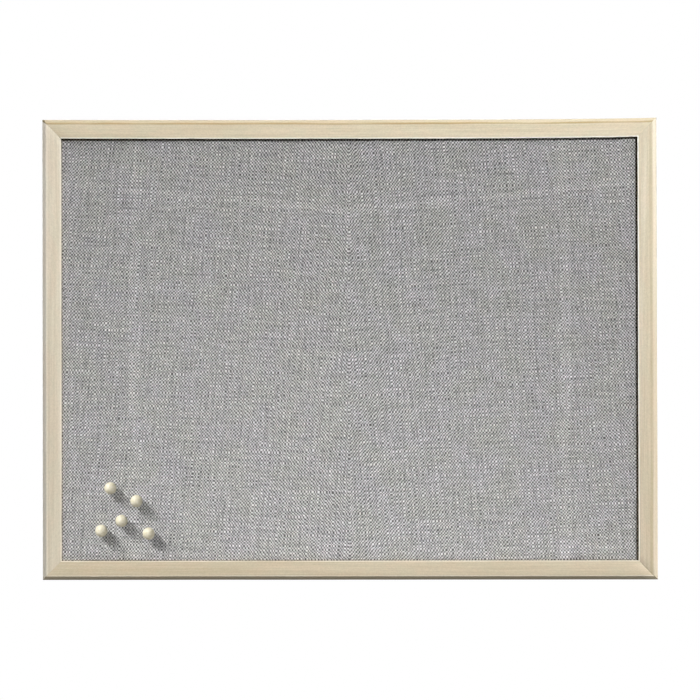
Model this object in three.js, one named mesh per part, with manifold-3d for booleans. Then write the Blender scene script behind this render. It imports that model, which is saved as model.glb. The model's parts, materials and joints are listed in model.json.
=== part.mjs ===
// Framed fabric pin board with ball-headed pins, hung by two ring hangers on its back.
// Millimetres. +X is to the right, +Z is up and the board faces -Y. The origin is the middle of the
// plane at the back of the frame, which is the plane of the wall that the board hangs on.

import * as THREE from 'three';
import { mergeVertices } from 'three/addons/utils/BufferGeometryUtils.js';
import Module from 'manifold-3d';

const wasm = await Module();
wasm.setup();

// Board
const BOARD_WIDTH = 400;
const BOARD_HEIGHT = 300;

// Frame moulding
const MOULDING_WIDTH = 12.4;
const LIP_THICKNESS = 2.8; // wood in front of the panel
const REBATE_WIDTH = 4.2; // how far the lip reaches past the back of the moulding
const CHAMFER = 2.4; // outer front edge, at 45 degrees
const INNER_EASE = 0.8; // rounding of the front edge beside the fabric
const EASE_SEGMENTS = 4;
const MITRE_GAP = 0.2; // open line of each mitre, measured across it

// Panel: a soft core wrapped in fabric, closed by a back board
const CORE_THICKNESS = 7;
const FABRIC_THICKNESS = 0.6;
const HEM_WIDTH = 20; // fabric turned in over the back of the core
const BACK_BOARD_THICKNESS = 2.4;
const PANEL_PLAY = 0.5; // room between the panel's edge and the rebate
const COVER_FIT = 0.1; // glue film between the core and the fabric
const LAYER_GAP = 0.1; // between the hem and the back board
const LIP_SEAT_GAP = 0.3; // between the fabric and the lip

// V-nails across the mitres
const V_NAIL_WING = 4.5;
const V_NAIL_SHEET = 0.5;
const V_NAIL_HEIGHT = 8;
const V_NAIL_SINK = 0.3; // depth of its edge below the back of the frame
const V_NAIL_CLEARANCE = 0.15;

// Retaining points, half in the rebate wall and half over the back board
const POINT_WIDTH = 5.5;
const POINT_SHEET = 0.4;
const POINT_TIP = 3.5; // length of the tapered end
const POINT_REACH = 7; // from the rebate wall over the back board
const POINT_COVER = 2.2; // wood left between the tip and the outside of the frame
const POINT_TAIL_SEGMENTS = 6;
const POINT_CLEARANCE = 0.15;
const POINT_SEAT = 0.3; // room over the back board
const POINT_INSET = 60; // from the frame's corner to the nearest point
const POINTS_ON_RAIL = 3;
const POINTS_ON_STILE = 2;

// Ring hangers
const HANGER_SPACING = 200;
const HANGER_SHEET = 0.6;
const HANGER_WIDTH = 8;
const HANGER_SEAT = 0.1; // room under the plate
const HANGER_END_MARGIN = 3.2; // plate past the lower rivet's middle
const HANGER_TOP_MARGIN = 6; // room over the ring when it stands up
const WIRE_DIAMETER = 1.4;
const WIRE_SIDES = 8;
const RING_DROP = 11; // from the hinge line to the wire's middle at the far end
const RING_CORNER_RADIUS = 2;
const RING_END_RADIUS = 2.5;
const RING_SIDE_ROOM = 1; // straight wire past each side of the knuckle
const RING_BUTT_GAP = 0.4; // between the wire's ends, inside the knuckle
const RING_STEPS = 52;
const KNUCKLE_CLEARANCE = 0.2;
const KNUCKLE_END_ANGLE = THREE.MathUtils.degToRad(-115); // where the rolled sheet stops
const KNUCKLE_SEGMENTS = 9;
const RECESS_SPARE = 0.4; // from the knuckle to the wall

// Rivets of the hangers
const RIVET_SHANK_DIAMETER = 2.4;
const RIVET_HEAD_DIAMETER = 4.4;
const RIVET_HEAD_HEIGHT = 0.8;
const RIVET_CLINCH_DIAMETER = 3.6;
const RIVET_CLINCH_THICKNESS = 0.3;
const RIVET_HEAD_GAP = 1.2; // between the two heads of a plate
const RIVET_CLEARANCE = 0.1;
const RIVET_SEAT = 0.05; // under the head and under the clinched end
const RIVET_RING_ROOM = 1; // between the hanging ring and the first head
const RIVET_SIDES = 16;
const RIVET_DOME_STEPS = 4;

// Pins
const BALL_DIAMETER = 8;
const BALL_STAND_OFF = 0.3; // between the ball and the fabric
const BALL_SIDES = 20;
const BALL_RINGS = 12;
const NEEDLE_DIAMETER = 1;
const BALL_COVER = 3.4; // wood left in front of the needle's blunt end
const NEEDLE_TAPER = 2.2;
const NEEDLE_CLEARANCE = 0.15; // in the ball, the fabric and the core
const NEEDLE_STOP = 0.9; // core left behind the needle's point
const NEEDLE_SIDES = 12;

// Middle of each pin, right of and above the lower left corner of the fabric that shows
const PIN_PLACES = [
  [32.1, 47.4],
  [49.1, 39.0],
  [39.3, 26.1],
  [26.2, 19.7],
  [57.0, 17.9],
];

// Sizes that follow from those above
const BACK_LAND = MOULDING_WIDTH - REBATE_WIDTH; // width of the moulding's back
const MITRE_SHIFT = MITRE_GAP / Math.SQRT2; // along the rail, at each of its ends
const PANEL_WIDTH = BOARD_WIDTH - 2 * (BACK_LAND + PANEL_PLAY);
const PANEL_HEIGHT = BOARD_HEIGHT - 2 * (BACK_LAND + PANEL_PLAY);
const WRAP = FABRIC_THICKNESS + COVER_FIT; // fabric outside the core on each side
const CORE_WIDTH = PANEL_WIDTH - 2 * WRAP;
const CORE_HEIGHT = PANEL_HEIGHT - 2 * WRAP;
const WIRE_RADIUS = WIRE_DIAMETER / 2;
const KNUCKLE_BORE_RADIUS = WIRE_RADIUS + KNUCKLE_CLEARANCE;
const KNUCKLE_RADIUS = KNUCKLE_BORE_RADIUS + HANGER_SHEET;
const RIVET_SHANK_RADIUS = RIVET_SHANK_DIAMETER / 2;
const RIVET_HEAD_RADIUS = RIVET_HEAD_DIAMETER / 2;
const RIVET_DROP = RING_DROP + WIRE_RADIUS + RIVET_RING_ROOM + RIVET_HEAD_RADIUS;
const RIVET_DROPS = { upper: RIVET_DROP, lower: RIVET_DROP + RIVET_HEAD_DIAMETER + RIVET_HEAD_GAP };
const HANGER_LENGTH = RIVET_DROPS.lower + HANGER_END_MARGIN; // down from the hinge line
const BALL_RADIUS = BALL_DIAMETER / 2;
const NEEDLE_IN_BALL = BALL_DIAMETER - BALL_COVER;
const NEEDLE_RADIUS = NEEDLE_DIAMETER / 2;
const NEEDLE_BORE_RADIUS = NEEDLE_RADIUS + NEEDLE_CLEARANCE;

// Depths along Y, from the wall to the front
const RECESS_DEPTH = HANGER_SEAT + 2 * KNUCKLE_RADIUS + RECESS_SPARE;
const BACK_BOARD_BACK = -RECESS_DEPTH;
const BACK_BOARD_FRONT = BACK_BOARD_BACK - BACK_BOARD_THICKNESS;
const PANEL_BACK = BACK_BOARD_FRONT - LAYER_GAP;
const CORE_BACK = PANEL_BACK - WRAP;
const CORE_FRONT = CORE_BACK - CORE_THICKNESS;
const FABRIC_FRONT = CORE_FRONT - WRAP;
const LEDGE = FABRIC_FRONT - LIP_SEAT_GAP;
const FRAME_FRONT = LEDGE - LIP_THICKNESS;
const BALL_MIDDLE = FABRIC_FRONT - BALL_STAND_OFF - BALL_RADIUS;
const NEEDLE_END = CORE_BACK - NEEDLE_STOP;
const NEEDLE_START = BALL_MIDDLE + BALL_RADIUS - NEEDLE_IN_BALL;

const material = {
  wood: new THREE.MeshStandardMaterial({ color: 0xdccfb4, roughness: 0.6, metalness: 0 }),
  fabric: new THREE.MeshStandardMaterial({ color: 0xa3a1a0, roughness: 0.95, metalness: 0 }),
  fibreCore: new THREE.MeshStandardMaterial({ color: 0xa98f6c, roughness: 0.95, metalness: 0 }),
  hardboard: new THREE.MeshStandardMaterial({ color: 0x7b5636, roughness: 0.7, metalness: 0 }),
  turnedWood: new THREE.MeshStandardMaterial({ color: 0xe9dfc4, roughness: 0.5, metalness: 0 }),
  steel: new THREE.MeshStandardMaterial({ color: 0xb9babb, roughness: 0.35, metalness: 1 }),
};

// Solids and cuts

function toSolid(geometry) {
  const bare = geometry.clone();
  bare.deleteAttribute('normal');
  bare.deleteAttribute('uv');
  const merged = mergeVertices(bare);
  return new wasm.Manifold(
    new wasm.Mesh({
      numProp: 3,
      vertProperties: Float32Array.from(merged.attributes.position.array),
      triVerts: Uint32Array.from(merged.index.array),
    }),
  );
}

function cutAway(geometry, cutters) {
  let solid = toSolid(geometry);
  for (const cutter of cutters) {
    solid = solid.subtract(toSolid(cutter));
  }
  const mesh = solid.getMesh();
  const result = new THREE.BufferGeometry();
  result.setAttribute('position', new THREE.BufferAttribute(mesh.vertProperties, 3));
  result.setIndex(new THREE.BufferAttribute(mesh.triVerts, 1));
  result.computeVertexNormals();
  return result;
}

// A box between two depths, centred on the board
function slab(width, height, front, back) {
  return new THREE.BoxGeometry(width, back - front, height).translate(0, (front + back) / 2, 0);
}

// A round bar along Y between two depths
function barAlongDepth(radius, sides, front, back, x, z) {
  const bar = new THREE.CylinderGeometry(radius, radius, back - front, sides);
  return bar.translate(x, (front + back) / 2, z);
}

// A plate whose outline lies in the XZ plane, with its back at the given depth
function plateAcrossDepth(outline, thickness, back) {
  const options = { depth: thickness, bevelEnabled: false, curveSegments: POINT_TAIL_SEGMENTS };
  const plate = new THREE.ExtrudeGeometry(outline, options);
  return plate.rotateX(Math.PI / 2).translate(0, back, 0);
}

// Frame: each side is made in a frame of its own, with the outer corner where it starts at the origin,
// X towards the middle of the board and Z along the side

function mouldingProfile() {
  const profile = new THREE.Shape();
  profile.moveTo(0, 0);
  profile.lineTo(BACK_LAND, 0);
  profile.lineTo(BACK_LAND, LEDGE);
  profile.lineTo(MOULDING_WIDTH, LEDGE);
  profile.absarc(
    MOULDING_WIDTH - INNER_EASE, FRAME_FRONT + INNER_EASE, INNER_EASE, 0, -Math.PI / 2, true,
  );
  profile.lineTo(CHAMFER, FRAME_FRONT);
  profile.lineTo(0, FRAME_FRONT + CHAMFER);
  return profile;
}

function mitredMoulding(length) {
  const options = { depth: length, bevelEnabled: false, curveSegments: EASE_SEGMENTS };
  const geometry = new THREE.ExtrudeGeometry(mouldingProfile(), options);
  const position = geometry.attributes.position;
  for (let i = 0; i < position.count; i += 1) {
    const inset = position.getX(i) + MITRE_SHIFT;
    const atStart = position.getZ(i) < length / 2;
    position.setZ(i, atStart ? inset : length - inset);
  }
  return geometry;
}

// A right-angled strip of sheet that straddles the mitre at the start of a side, driven in from the back
function vNail(grow, back) {
  const low = BACK_LAND / 2 - V_NAIL_SHEET / 2 - grow;
  const high = BACK_LAND / 2 + V_NAIL_SHEET / 2 + grow;
  const end = BACK_LAND / 2 + V_NAIL_WING + grow;
  const outline = new THREE.Shape();
  outline.moveTo(low, low);
  outline.lineTo(end, low);
  outline.lineTo(end, high);
  outline.lineTo(high, high);
  outline.lineTo(high, end);
  outline.lineTo(low, end);
  return plateAcrossDepth(outline, back + V_NAIL_SINK + V_NAIL_HEIGHT + grow, back);
}

// Its slot is open at the back of the frame
function vNailSlot() {
  return vNail(V_NAIL_CLEARANCE, V_NAIL_SINK);
}

// A flat point that tapers into the wood and has a round tail over the back board
function retainingPoint(grow) {
  const half = POINT_WIDTH / 2 + grow;
  const tip = POINT_COVER - 2 * grow;
  const tail = BACK_LAND + POINT_REACH + grow;
  const outline = new THREE.Shape();
  outline.moveTo(tip, 0);
  outline.lineTo(tip + POINT_TIP, -half);
  outline.absarc(tail - half, 0, half, -Math.PI / 2, Math.PI / 2, false);
  outline.lineTo(tip + POINT_TIP, half);
  const back = BACK_BOARD_BACK + POINT_SEAT + POINT_SHEET + grow;
  return plateAcrossDepth(outline, POINT_SHEET + 2 * grow, back);
}

function pointPlaces(length, count) {
  const step = (length - 2 * POINT_INSET) / (count - 1);
  return Array.from({ length: count }, (_, i) => POINT_INSET + i * step);
}

function mouldingWithSlots(length, places) {
  const slotAtStart = vNailSlot();
  const slotAtEnd = vNailSlot().rotateY(Math.PI / 2).translate(0, 0, length);
  const pointSlots = places.map((place) => retainingPoint(POINT_CLEARANCE).translate(0, 0, place));
  return cutAway(mitredMoulding(length), [slotAtStart, slotAtEnd, ...pointSlots]);
}

// Panel

function pinMiddle([right, up]) {
  const x = -BOARD_WIDTH / 2 + MOULDING_WIDTH + right;
  const z = -BOARD_HEIGHT / 2 + MOULDING_WIDTH + up;
  return { x, z };
}

// One hole for each needle, from in front of the fabric to just past the needle's point
function needleHoles() {
  return PIN_PLACES.map((place) => {
    const { x, z } = pinMiddle(place);
    const front = FABRIC_FRONT - FABRIC_THICKNESS;
    const back = NEEDLE_END + NEEDLE_CLEARANCE;
    return barAlongDepth(NEEDLE_BORE_RADIUS, NEEDLE_SIDES, front, back, x, z);
  });
}

function core() {
  return cutAway(slab(CORE_WIDTH, CORE_HEIGHT, CORE_FRONT, CORE_BACK), needleHoles());
}

function fabricCover() {
  const outside = slab(PANEL_WIDTH, PANEL_HEIGHT, FABRIC_FRONT, PANEL_BACK);
  const roomWidth = CORE_WIDTH + 2 * COVER_FIT;
  const roomHeight = CORE_HEIGHT + 2 * COVER_FIT;
  const room = slab(roomWidth, roomHeight, CORE_FRONT - COVER_FIT, CORE_BACK + COVER_FIT);
  const openWidth = PANEL_WIDTH - 2 * HEM_WIDTH;
  const openHeight = PANEL_HEIGHT - 2 * HEM_WIDTH;
  const openBack = slab(openWidth, openHeight, CORE_BACK, PANEL_BACK + FABRIC_THICKNESS);
  return cutAway(outside, [room, openBack, ...needleHoles()]);
}

const hangerHinge = {
  y: BACK_BOARD_BACK + HANGER_SEAT + KNUCKLE_RADIUS,
  z: BOARD_HEIGHT / 2 - BACK_LAND - HANGER_TOP_MARGIN - WIRE_RADIUS - RING_DROP,
};
const hangerSides = { left: -HANGER_SPACING / 2, right: HANGER_SPACING / 2 };

function backBoard() {
  const holes = [];
  for (const x of Object.values(hangerSides)) {
    for (const drop of Object.values(RIVET_DROPS)) {
      const radius = RIVET_SHANK_RADIUS + RIVET_CLEARANCE;
      const front = BACK_BOARD_FRONT - BACK_BOARD_THICKNESS;
      const back = BACK_BOARD_BACK + BACK_BOARD_THICKNESS;
      holes.push(barAlongDepth(radius, RIVET_SIDES, front, back, x, hangerHinge.z - drop));
    }
  }
  return cutAway(slab(PANEL_WIDTH, PANEL_HEIGHT, BACK_BOARD_FRONT, BACK_BOARD_BACK), holes);
}

// Pins: turned about Y, with the ball's middle at the origin

function ballHead() {
  const boreEnd = BALL_RADIUS - NEEDLE_IN_BALL - NEEDLE_CLEARANCE;
  const mouthAngle = Math.asin(NEEDLE_BORE_RADIUS / BALL_RADIUS);
  const profile = [];
  for (let i = 0; i <= BALL_RINGS; i += 1) {
    const angle = Math.PI - (i / BALL_RINGS) * (Math.PI - mouthAngle);
    const radius = i === 0 ? 0 : BALL_RADIUS * Math.sin(angle);
    profile.push(new THREE.Vector2(radius, BALL_RADIUS * Math.cos(angle)));
  }
  profile.push(new THREE.Vector2(NEEDLE_BORE_RADIUS, boreEnd));
  profile.push(new THREE.Vector2(0, boreEnd));
  return new THREE.LatheGeometry(profile, BALL_SIDES);
}

function needle() {
  const start = NEEDLE_START - BALL_MIDDLE;
  const end = NEEDLE_END - BALL_MIDDLE;
  const profile = [
    new THREE.Vector2(0, start),
    new THREE.Vector2(NEEDLE_RADIUS, start),
    new THREE.Vector2(NEEDLE_RADIUS, end - NEEDLE_TAPER),
    new THREE.Vector2(0, end),
  ];
  return new THREE.LatheGeometry(profile, NEEDLE_SIDES);
}

// Ring hangers: in a frame with the hinge line along X through the origin

function hangerPlate() {
  const profile = new THREE.Shape();
  profile.moveTo(-KNUCKLE_RADIUS, -HANGER_LENGTH);
  profile.absarc(0, 0, KNUCKLE_RADIUS, Math.PI, KNUCKLE_END_ANGLE, true);
  profile.absarc(0, 0, KNUCKLE_BORE_RADIUS, KNUCKLE_END_ANGLE, Math.PI, false);
  profile.lineTo(-KNUCKLE_BORE_RADIUS, -HANGER_LENGTH);
  const options = { depth: HANGER_WIDTH, bevelEnabled: false, curveSegments: KNUCKLE_SEGMENTS };
  const plate = new THREE.ExtrudeGeometry(profile, options);
  plate.translate(0, 0, -HANGER_WIDTH / 2);
  plate.rotateX(Math.PI / 2).rotateZ(Math.PI / 2);
  const holes = Object.values(RIVET_DROPS).map((drop) =>
    barAlongDepth(RIVET_SHANK_RADIUS + RIVET_CLEARANCE, RIVET_SIDES, -2 * KNUCKLE_RADIUS, 0, 0, -drop),
  );
  return cutAway(plate, holes);
}

// A flat line in the XZ plane that a wire follows
class FlatLine extends THREE.Curve {
  constructor(path) {
    super();
    this.path = path;
  }

  getPoint(t, target = new THREE.Vector3()) {
    const point = this.path.getPoint(t);
    return target.set(point.x, 0, point.y);
  }
}

// Round-cornered triangle of wire, whose ends butt in the middle of its straight bar
function hangerRing() {
  const corner = HANGER_WIDTH / 2 + RING_SIDE_ROOM;
  const endCentre = RING_DROP - RING_END_RADIUS;
  const across = new THREE.Vector2(-corner, RING_CORNER_RADIUS - endCentre);
  const turn = Math.acos((RING_CORNER_RADIUS - RING_END_RADIUS) / across.length());
  const sideNormal = Math.atan2(across.y, across.x) + turn;
  const line = new THREE.Path();
  line.moveTo(RING_BUTT_GAP / 2, 0);
  line.absarc(corner, -RING_CORNER_RADIUS, RING_CORNER_RADIUS, Math.PI / 2, sideNormal, true);
  line.absarc(0, -endCentre, RING_END_RADIUS, sideNormal, -Math.PI - sideNormal, true);
  line.absarc(-corner, -RING_CORNER_RADIUS, RING_CORNER_RADIUS, Math.PI - sideNormal, Math.PI / 2, true);
  line.lineTo(-RING_BUTT_GAP / 2, 0);
  const section = new THREE.Shape();
  section.absarc(0, 0, WIRE_RADIUS, 0, 2 * Math.PI, false);
  const options = { steps: RING_STEPS, curveSegments: WIRE_SIDES / 2, extrudePath: new FlatLine(line) };
  return new THREE.ExtrudeGeometry(section, options);
}

// Turned about Y, with the plate's outer face at the origin
function rivet() {
  const clinchTop = -(HANGER_SEAT + HANGER_SHEET + BACK_BOARD_THICKNESS + RIVET_SEAT);
  const clinchEnd = clinchTop - RIVET_CLINCH_THICKNESS;
  const profile = [
    new THREE.Vector2(0, clinchEnd),
    new THREE.Vector2(RIVET_CLINCH_DIAMETER / 2, clinchEnd),
    new THREE.Vector2(RIVET_CLINCH_DIAMETER / 2, clinchTop),
    new THREE.Vector2(RIVET_SHANK_RADIUS, clinchTop),
    new THREE.Vector2(RIVET_SHANK_RADIUS, RIVET_SEAT),
  ];
  for (let i = 0; i <= RIVET_DOME_STEPS; i += 1) {
    const angle = (i / RIVET_DOME_STEPS) * (Math.PI / 2);
    const radius = i === RIVET_DOME_STEPS ? 0 : RIVET_HEAD_RADIUS * Math.cos(angle);
    profile.push(new THREE.Vector2(radius, RIVET_SEAT + RIVET_HEAD_HEIGHT * Math.sin(angle)));
  }
  return new THREE.LatheGeometry(profile, RIVET_SIDES);
}

// Assembly

function addPiece(parent, name, geometry, finish, x = 0, y = 0, z = 0) {
  const mesh = new THREE.Mesh(geometry, finish);
  mesh.name = name;
  mesh.position.set(x, y, z);
  parent.add(mesh);
}

function addSide(parent, side) {
  const group = new THREE.Group();
  group.position.set(side.x * BOARD_WIDTH / 2, 0, side.z * BOARD_HEIGHT / 2);
  group.rotation.y = side.quarterTurns * (Math.PI / 2);
  parent.add(group);
  const places = pointPlaces(side.length, side.points);
  addPiece(group, `frame_${side.name}`, mouldingWithSlots(side.length, places), material.wood);
  addPiece(group, `v_nail_${side.corner}`, vNail(0, -V_NAIL_SINK), material.steel);
  places.forEach((place, i) => {
    const name = `retaining_point_${side.name}_${i + 1}`;
    addPiece(group, name, retainingPoint(0), material.steel, 0, 0, place);
  });
}

function addPin(parent, place, number) {
  const { x, z } = pinMiddle(place);
  addPiece(parent, `pin_head_${number}`, ballHead(), material.turnedWood, x, BALL_MIDDLE, z);
  addPiece(parent, `pin_needle_${number}`, needle(), material.steel, x, BALL_MIDDLE, z);
}

function addHanger(parent, side, x) {
  const group = new THREE.Group();
  group.position.set(x, hangerHinge.y, hangerHinge.z);
  parent.add(group);
  addPiece(group, `hanger_plate_${side}`, hangerPlate(), material.steel);
  addPiece(group, `hanger_ring_${side}`, hangerRing(), material.steel);
  for (const [level, drop] of Object.entries(RIVET_DROPS)) {
    const name = `hanger_rivet_${side}_${level}`;
    addPiece(group, name, rivet(), material.steel, 0, -KNUCKLE_BORE_RADIUS, -drop);
  }
}

const SIDES = [
  { name: 'left_stile', corner: 'bottom_left', x: -1, z: -1, quarterTurns: 0 },
  { name: 'top_rail', corner: 'top_left', x: -1, z: 1, quarterTurns: 1 },
  { name: 'right_stile', corner: 'top_right', x: 1, z: 1, quarterTurns: 2 },
  { name: 'bottom_rail', corner: 'bottom_right', x: 1, z: -1, quarterTurns: 3 },
];

const board = new THREE.Group();
board.name = 'pin_board';
for (const side of SIDES) {
  const upright = side.quarterTurns % 2 === 0;
  const length = upright ? BOARD_HEIGHT : BOARD_WIDTH;
  const points = upright ? POINTS_ON_STILE : POINTS_ON_RAIL;
  addSide(board, { ...side, length, points });
}
addPiece(board, 'pin_core', core(), material.fibreCore);
addPiece(board, 'fabric_cover', fabricCover(), material.fabric);
addPiece(board, 'back_board', backBoard(), material.hardboard);
PIN_PLACES.forEach((place, i) => addPin(board, place, i + 1));
for (const [side, x] of Object.entries(hangerSides)) {
  addHanger(board, side, x);
}

export default board;
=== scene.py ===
import json
import math

import bmesh
import bpy
from mathutils import Matrix, Vector


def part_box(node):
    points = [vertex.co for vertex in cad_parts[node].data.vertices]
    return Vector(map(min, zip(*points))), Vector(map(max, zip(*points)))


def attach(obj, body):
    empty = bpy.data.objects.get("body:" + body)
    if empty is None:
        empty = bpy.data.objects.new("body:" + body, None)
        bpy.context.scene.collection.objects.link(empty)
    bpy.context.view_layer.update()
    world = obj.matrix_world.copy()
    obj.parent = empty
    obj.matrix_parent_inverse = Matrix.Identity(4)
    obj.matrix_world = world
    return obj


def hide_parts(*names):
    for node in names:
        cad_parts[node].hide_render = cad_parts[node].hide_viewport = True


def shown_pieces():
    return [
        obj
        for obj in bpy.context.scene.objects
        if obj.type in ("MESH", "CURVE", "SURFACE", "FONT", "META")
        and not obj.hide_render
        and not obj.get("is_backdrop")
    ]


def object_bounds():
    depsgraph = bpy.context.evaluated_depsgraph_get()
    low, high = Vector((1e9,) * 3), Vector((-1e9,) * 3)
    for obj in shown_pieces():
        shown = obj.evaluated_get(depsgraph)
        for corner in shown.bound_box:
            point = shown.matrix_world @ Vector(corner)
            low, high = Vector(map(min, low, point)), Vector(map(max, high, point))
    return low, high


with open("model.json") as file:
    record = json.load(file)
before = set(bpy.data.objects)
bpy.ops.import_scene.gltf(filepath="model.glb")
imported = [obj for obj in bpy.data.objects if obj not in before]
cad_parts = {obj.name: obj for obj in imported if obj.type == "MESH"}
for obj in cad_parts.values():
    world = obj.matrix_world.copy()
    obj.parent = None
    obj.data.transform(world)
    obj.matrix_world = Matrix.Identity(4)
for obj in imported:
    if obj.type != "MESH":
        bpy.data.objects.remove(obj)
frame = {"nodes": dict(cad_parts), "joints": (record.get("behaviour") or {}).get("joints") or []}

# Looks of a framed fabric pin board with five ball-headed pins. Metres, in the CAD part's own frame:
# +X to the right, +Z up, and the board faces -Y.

MM = 0.001
cad_low, cad_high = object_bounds()

# Places that follow from the CAD part
cover_low, cover_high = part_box("fabric_cover")
stile_low, stile_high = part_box("frame_left_stile")
BOARD_WIDTH = cad_high.x - cad_low.x
BOARD_HEIGHT = cad_high.z - cad_low.z
MOULDING_WIDTH = stile_high.x - stile_low.x
FRAME_DEPTH = -stile_low.y
FABRIC_FRONT = cover_low.y
PINS = range(1, 6)
HANGERS = ("left", "right")

# Frame moulding
LIP_SEAT_GAP = 0.3 * MM
REBATE_WIDTH = 4.2 * MM
CHAMFER = 2.4 * MM
EDGE_ROUND = 0.35 * MM  # sanded edges
INNER_ROUND = 0.12 * MM  # the edge beside the fabric, left almost sharp
BACK_INSET = 0.1 * MM  # of the wood's back, so that the edges of the V-nails show in it
MITRE_EASE = 0.4 * MM  # length over which the ends of a side are eased
STATION_STEP = 8 * MM
BOW_SKEW = 0.6  # a bowed side bends most at about a third of its length
WANDER = 0.25 * MM  # of a side from its straight line
WANDER_WAVES = 14.0  # per metre
WANDER_SEED = 1.7  # from a side to the next

# Each mitre: the share by which the ends of the moulding are thinned there, how dark its line is at the
# outer corner, midway and beside the fabric, and how wide it gapes at the corner
MITRES = {
    "bottom_left": {"thinning": 0.004, "corner": 0.3, "midway": 0.06, "inside": 0.06, "gape": 0.35 * MM},
    "bottom_right": {"thinning": 0.008, "corner": 0.8, "midway": 0.7, "inside": 0.05, "gape": 0.5 * MM},
    "top_right": {"thinning": 0.004, "corner": 0.1, "midway": 0.06, "inside": 0.1, "gape": 0.35 * MM},
    "top_left": {"thinning": 0.004, "corner": 1.0, "midway": 0.08, "inside": 0.8, "gape": 2.2 * MM},
}

# Sides in order, each turned a quarter further round the board than the one before
SIDES = [
    {"name": "bottom_rail", "start": "bottom_left", "end": "bottom_right", "x": -1, "z": -1, "bow": 0},
    {"name": "right_stile", "start": "bottom_right", "end": "top_right", "x": 1, "z": -1, "bow": 0},
    {"name": "top_rail", "start": "top_right", "end": "top_left", "x": 1, "z": 1, "bow": 0.9 * MM},
    {"name": "left_stile", "start": "top_left", "end": "bottom_left", "x": -1, "z": 1, "bow": 0},
]


# Materials


def linear(red, green, blue):
    """A colour as seen, 0 to 255, as the shader's linear colour."""
    def channel(value):
        share = value / 255
        return share / 12.92 if share <= 0.04045 else ((share + 0.055) / 1.055) ** 2.4
    return (channel(red), channel(green), channel(blue), 1.0)


class NodeTree:
    """Short calls that add the nodes of a tree and join them."""

    def feed(self, socket, value):
        if isinstance(value, bpy.types.NodeSocket):
            self.tree.links.new(value, socket)
        else:
            socket.default_value = value

    def node(self, kind, inputs=None, **settings):
        node = self.tree.nodes.new(kind)
        for name, value in settings.items():
            setattr(node, name, value)
        for name, value in (inputs or {}).items():
            self.feed(node.inputs[name], value)
        return node


class Finish(NodeTree):
    """A material in the making."""

    def __init__(self, name):
        self.material = bpy.data.materials.new(name)
        self.material.use_nodes = True
        self.tree = self.material.node_tree
        self.shader = self.tree.nodes["Principled BSDF"]

    def place(self):
        return self.node("ShaderNodeTexCoord").outputs["Object"]

    def math(self, operation, *values):
        return self.node("ShaderNodeMath", dict(enumerate(values)), operation=operation).outputs[0]

    def shifted(self, vector, offset):
        return self.node("ShaderNodeVectorMath", {0: vector, 1: offset}, operation="ADD").outputs[0]

    def combine(self, x, y, z=0.0):
        return self.node("ShaderNodeCombineXYZ", {"X": x, "Y": y, "Z": z}).outputs[0]

    def separate(self, vector):
        return self.node("ShaderNodeSeparateXYZ", {"Vector": vector}).outputs

    def noise(self, vector, scale=None, detail=2.0, roughness=0.5):
        """Noise round 0.5. scale is how often it changes in a metre along each axis."""
        if scale:
            stretch = self.node("ShaderNodeVectorMath", {0: vector, 1: scale}, operation="MULTIPLY")
            vector = stretch.outputs[0]
        inputs = {"Vector": vector, "Scale": 1.0, "Detail": detail, "Roughness": roughness}
        return self.node("ShaderNodeTexNoise", inputs).outputs["Fac"]

    def spread(self, value, low, high, to_low=0.0, to_high=1.0):
        """Goes smoothly from to_low, where the value is low, to to_high, where it is high."""
        inputs = {"Value": value, "From Min": low, "From Max": high, "To Min": to_low, "To Max": to_high}
        node = self.node("ShaderNodeMapRange", inputs, interpolation_type="SMOOTHSTEP")
        return node.outputs["Result"]

    def sway(self, noise, by, band=0.2):
        """Noise as a value from -by to by, which it reaches at a band's width from its middle."""
        return self.spread(noise, 0.5 - band, 0.5 + band, -by, by)

    def blend(self, first, second, share):
        """The first value by its share, and the second by the rest."""
        return self.math("MULTIPLY_ADD", first, share, self.math("MULTIPLY", second, 1 - share))

    def mix(self, share, first, second, blend="MIX"):
        node = self.node("ShaderNodeMix", {0: share, 6: first, 7: second}, data_type="RGBA", blend_type=blend)
        return node.outputs[2]

    def two_tone(self, noise, band, first, second):
        """Goes from the first colour to the second with the noise, within a band round its middle."""
        return self.mix(self.spread(noise, 0.5 - band, 0.5 + band), linear(*first), linear(*second))

    def cast(self, colour, share, first, second):
        """A colour with a faint cast that goes from the first to the second."""
        return self.mix(1.0, colour, self.mix(share, first, second), blend="MULTIPLY")

    def tint(self, colour, level):
        """A colour made lighter or darker by a level round 1."""
        node = self.node("ShaderNodeVectorMath", {0: colour, "Scale": level}, operation="SCALE")
        return node.outputs[0]

    def bump(self, height, strength, distance):
        inputs = {"Height": height, "Strength": strength, "Distance": distance}
        node = self.node("ShaderNodeBump", inputs)
        self.feed(self.shader.inputs["Normal"], node.outputs["Normal"])

    def surface(self, **sockets):
        names = {"colour": "Base Color", "roughness": "Roughness", "metallic": "Metallic",
                 "specular": "Specular IOR Level", "sheen": "Sheen Weight"}
        for key, value in sockets.items():
            self.feed(self.shader.inputs[names[key]], value)
        return self.material


# Lines along a piece, such as growth lines and creases
STROKE_WOBBLES = 22  # per metre
STROKE_BREAKS = 17
STROKE_BREAK_SEED = 4
STROKE_SHOWS = (0.3, 0.62)  # the noise at which it is faint, and at which it is full
STROKE_FAINT = 0.45
STROKE_CORE = 0.3  # of its half width


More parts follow.
